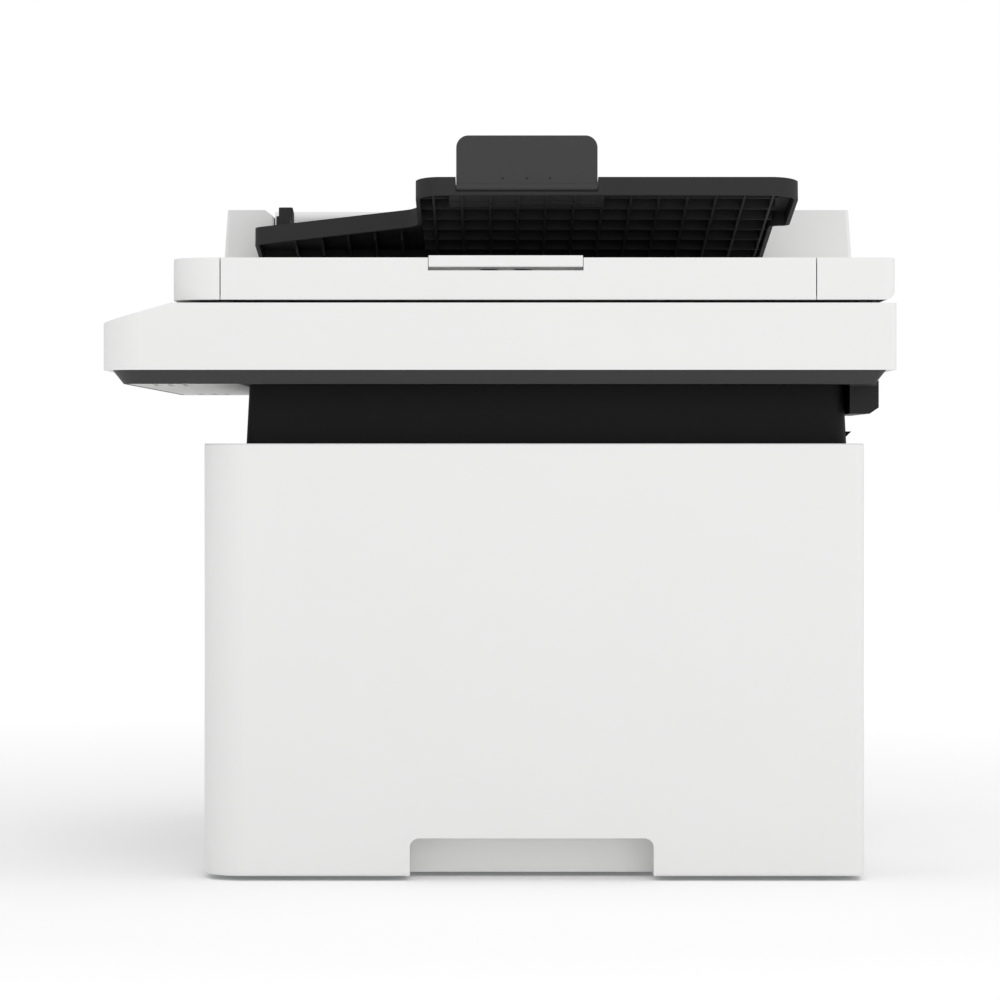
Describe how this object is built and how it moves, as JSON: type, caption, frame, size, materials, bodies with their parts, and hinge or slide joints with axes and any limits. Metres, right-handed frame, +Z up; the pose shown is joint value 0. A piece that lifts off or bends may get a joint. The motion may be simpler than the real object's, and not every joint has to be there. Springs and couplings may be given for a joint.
{
  "type": "photocopier",
  "caption": "Desktop laser photocopier: a boxy body with a paper cassette, a flatbed scanner on a dark neck, and a document feeder with a raised tray on the lid.",
  "frame": {"origin": "on the floor under the middle of the machine's overall box", "axes": "+X to the right of a person in front of it, along its width; +Y from its front to its back; +Z up"},
  "size_m": [0.42, 0.38, 0.3604],
  "materials": {
    "white_casing": "fine moulded texture",
    "black_casing": "fine moulded texture",
    "dark_grey_casing": "fine moulded texture",
    "light_grey_casing": "fine moulded texture",
    "black_gloss": "polished",
    "display": "clear window over a dark display",
    "black_fittings": "moulded",
    "smoke_grey": "satin",
    "key_grey": "satin",
    "key_green": "satin",
    "key_red": "satin",
    "white_pad": "soft foam with a smooth film",
    "zinc_steel": "zinc plated sheet",
    "steel": "machined",
    "rubber": "matte",
    "roller_rubber": "fine ground",
    "drum_coating": "coated tube",
    "circuit_board": "solder mask",
    "glass": "clear float glass"
  },
  "bodies": {
    "root": {"base_pan": "zinc_steel", "rubber_feet": "rubber", "side_frames": "zinc_steel", "left_side_cover": "white_casing", "right_side_cover": "white_casing", "rear_cover": "white_casing", "output_bin_cover": "black_casing", "power_inlet": "black_fittings", "data_ports": "black_fittings", "main_board": "circuit_board", "power_supply_board": "circuit_board", "laser_unit": "black_fittings", "fuser_frame": "black_fittings", "drive_motor": "steel", "toner_cartridge": "black_fittings", "scanner_tub": "dark_grey_casing", "panel_underside": "light_grey_casing", "scanner_top_frame": "white_casing", "scanner_glass": "glass", "carriage_rod": "steel", "panel_bezel": "black_gloss", "display_window": "display", "housing_screws": "steel"},
    "front_door": {"front_door": "white_casing"},
    "rear_door": {"rear_door": "white_casing"},
    "bin_stop": {"bin_stop": "black_casing"},
    "pickup_roller": {"pickup_roller": "roller_rubber"},
    "photo_drum": {"photo_drum": "drum_coating"},
    "transfer_roller": {"transfer_roller": "roller_rubber"},
    "heat_roller": {"heat_roller": "black_gloss"},
    "pressure_roller": {"pressure_roller": "roller_rubber"},
    "exit_roller": {"exit_roller": "roller_rubber"},
    "scan_carriage": {"scan_carriage": "black_fittings"},
    "power_button": {"power_button": "key_grey"},
    "key_start": {"key_start": "key_green"},
    "key_stop": {"key_stop": "key_red"},
    "key_ok": {"key_ok": "key_grey"},
    "key_left": {"key_left": "key_grey"},
    "key_right": {"key_right": "key_grey"},
    "cassette": {"paper_cassette": "white_casing"},
    "lift_plate": {"lift_plate": "zinc_steel"},
    "width_guide_left": {"width_guide_left": "key_grey"},
    "width_guide_right": {"width_guide_right": "key_grey"},
    "length_guide": {"length_guide": "key_grey"},
    "hinge_risers": {"lid_hinges": "black_fittings"},
    "lid": {"lid_shell": "white_casing", "lid_front_trim": "white_casing", "lid_rear_trim": "white_casing", "lid_base_plate": "white_casing", "platen_pad": "white_pad", "adf_housing": "white_casing", "adf_chute": "black_casing"},
    "adf_cover": {"adf_cover": "white_casing"},
    "adf_tray": {"adf_tray": "black_casing"},
    "tray_flap": {"tray_flap": "smoke_grey"},
    "adf_guide_front": {"adf_guide_front": "black_casing"},
    "adf_guide_rear": {"adf_guide_rear": "black_casing"},
    "adf_turn_roller": {"adf_turn_roller": "roller_rubber"},
    "adf_pick_roller": {"adf_pick_roller": "roller_rubber"},
    "output_stopper": {"output_stopper": "white_casing"}
  },
  "joints": [
    {"name": "front_door_hinge", "type": "hinge", "parent": "root", "child": "front_door", "pos_m": [0, -0.132, 0.065], "axis": [1, 0, 0], "range_deg": [0, 90]},
    {"name": "rear_door_hinge", "type": "hinge", "parent": "root", "child": "rear_door", "pos_m": [0, 0.165, 0.072], "axis": [-1, 0, 0], "range_deg": [0, 90]},
    {"name": "bin_stop_hinge", "type": "hinge", "parent": "root", "child": "bin_stop", "pos_m": [0, -0.126, 0.2063], "axis": [1, 0, 0], "range_deg": [0, 110]},
    {"name": "pickup_spin", "type": "hinge", "parent": "root", "child": "pickup_roller", "pos_m": [0, -0.106, 0.06], "axis": [1, 0, 0], "continuous": true},
    {"name": "drum_spin", "type": "hinge", "parent": "root", "child": "photo_drum", "pos_m": [0, 0, 0.0913], "axis": [1, 0, 0], "continuous": true},
    {"name": "transfer_spin", "type": "hinge", "parent": "root", "child": "transfer_roller", "pos_m": [0, 0, 0.072], "axis": [1, 0, 0], "continuous": true},
    {"name": "heat_spin", "type": "hinge", "parent": "root", "child": "heat_roller", "pos_m": [0, 0.128, 0.0893], "axis": [1, 0, 0], "continuous": true},
    {"name": "pressure_spin", "type": "hinge", "parent": "root", "child": "pressure_roller", "pos_m": [0, 0.128, 0.069], "axis": [1, 0, 0], "continuous": true},
    {"name": "exit_spin", "type": "hinge", "parent": "root", "child": "exit_roller", "pos_m": [0, 0.119, 0.217], "axis": [1, 0, 0], "continuous": true},
    {"name": "carriage_slide", "type": "slide", "parent": "root", "child": "scan_carriage", "axis": [1, 0, 0], "range_m": [0, 0.305]},
    {"name": "power_button_press", "type": "slide", "parent": "root", "child": "power_button", "axis": [0, 0.2723, -0.9622], "range_m": [0, 0.0006], "stiffness_N_per_m": 500},
    {"name": "key_left_press", "type": "slide", "parent": "root", "child": "key_left", "axis": [0, 0.2723, -0.9622], "range_m": [0, 0.0006], "stiffness_N_per_m": 500},
    {"name": "key_right_press", "type": "slide", "parent": "root", "child": "key_right", "axis": [0, 0.2723, -0.9622], "range_m": [0, 0.0006], "stiffness_N_per_m": 500},
    {"name": "key_ok_press", "type": "slide", "parent": "root", "child": "key_ok", "axis": [0, 0.2723, -0.9622], "range_m": [0, 0.0006], "stiffness_N_per_m": 500},
    {"name": "key_stop_press", "type": "slide", "parent": "root", "child": "key_stop", "axis": [0, 0.2723, -0.9622], "range_m": [0, 0.0006], "stiffness_N_per_m": 500},
    {"name": "key_start_press", "type": "slide", "parent": "root", "child": "key_start", "axis": [0, 0.2723, -0.9622], "range_m": [0, 0.0006], "stiffness_N_per_m": 500},
    {"name": "cassette_slide", "type": "slide", "parent": "root", "child": "cassette", "axis": [0, -1, 0], "range_m": [0, 0.25]},
    {"name": "lift_plate_hinge", "type": "hinge", "parent": "cassette", "child": "lift_plate", "pos_m": [0, -0.012, 0.0095], "axis": [-1, 0, 0], "range_deg": [0, 11]},
    {"name": "width_guide_slide", "type": "slide", "parent": "cassette", "child": "width_guide_left", "axis": [1, 0, 0], "range_m": [0, 0.034]},
    {"name": "width_guide_right_slide", "type": "slide", "parent": "cassette", "child": "width_guide_right", "axis": [1, 0, 0], "range_m": [-0.034, 0]},
    {"name": "length_guide_slide", "type": "slide", "parent": "cassette", "child": "length_guide", "axis": [0, -1, 0], "range_m": [0, 0.087]},
    {"name": "hinge_riser_slide", "type": "slide", "parent": "root", "child": "hinge_risers", "axis": [0, 0, 1], "range_m": [0, 0.012]},
    {"name": "lid_hinge", "type": "hinge", "parent": "hinge_risers", "child": "lid", "pos_m": [0, 0.1845, 0.2827], "axis": [-1, 0, 0], "range_deg": [0, 80]},
    {"name": "adf_cover_hinge", "type": "hinge", "parent": "lid", "child": "adf_cover", "pos_m": [-0.203, 0, 0.3105], "axis": [0, -1, 0], "range_deg": [0, 80]},
    {"name": "adf_tray_hinge", "type": "hinge", "parent": "lid", "child": "adf_tray", "pos_m": [-0.052, 0, 0.3075], "axis": [0, -1, 0], "range_deg": [0, 35]},
    {"name": "tray_flap_hinge", "type": "hinge", "parent": "adf_tray", "child": "tray_flap", "pos_m": [0.14763, 0, 0.33489], "axis": [0, -1, 0], "range_deg": [0, 97]},
    {"name": "guide_slide", "type": "slide", "parent": "adf_tray", "child": "adf_guide_front", "axis": [0, 1, 0], "range_m": [0, 0.045]},
    {"name": "guide_rear_slide", "type": "slide", "parent": "adf_tray", "child": "adf_guide_rear", "axis": [0, 1, 0], "range_m": [-0.045, 0]},
    {"name": "turn_roller_spin", "type": "hinge", "parent": "lid", "child": "adf_turn_roller", "pos_m": [-0.161, 0, 0.2905], "axis": [0, 1, 0], "continuous": true},
    {"name": "pick_roller_spin", "type": "hinge", "parent": "lid", "child": "adf_pick_roller", "pos_m": [-0.09, 0, 0.3193], "axis": [0, 1, 0], "continuous": true},
    {"name": "stopper_hinge", "type": "hinge", "parent": "lid", "child": "output_stopper", "pos_m": [0.183, 0, 0.2966], "axis": [0, -1, 0], "range_deg": [0, 110]}
  ],
  "couplings": [
    {"joint": "transfer_spin", "follows": "drum_spin", "ratio": -1.7143},
    {"joint": "heat_spin", "follows": "drum_spin", "ratio": 1.2},
    {"joint": "pressure_spin", "follows": "drum_spin", "ratio": -1.2},
    {"joint": "exit_spin", "follows": "drum_spin", "ratio": 1.7143},
    {"joint": "width_guide_right_slide", "follows": "width_guide_slide", "ratio": -1},
    {"joint": "guide_rear_slide", "follows": "guide_slide", "ratio": -1},
    {"joint": "pick_roller_spin", "follows": "turn_roller_spin", "ratio": -1.75}
  ]
}
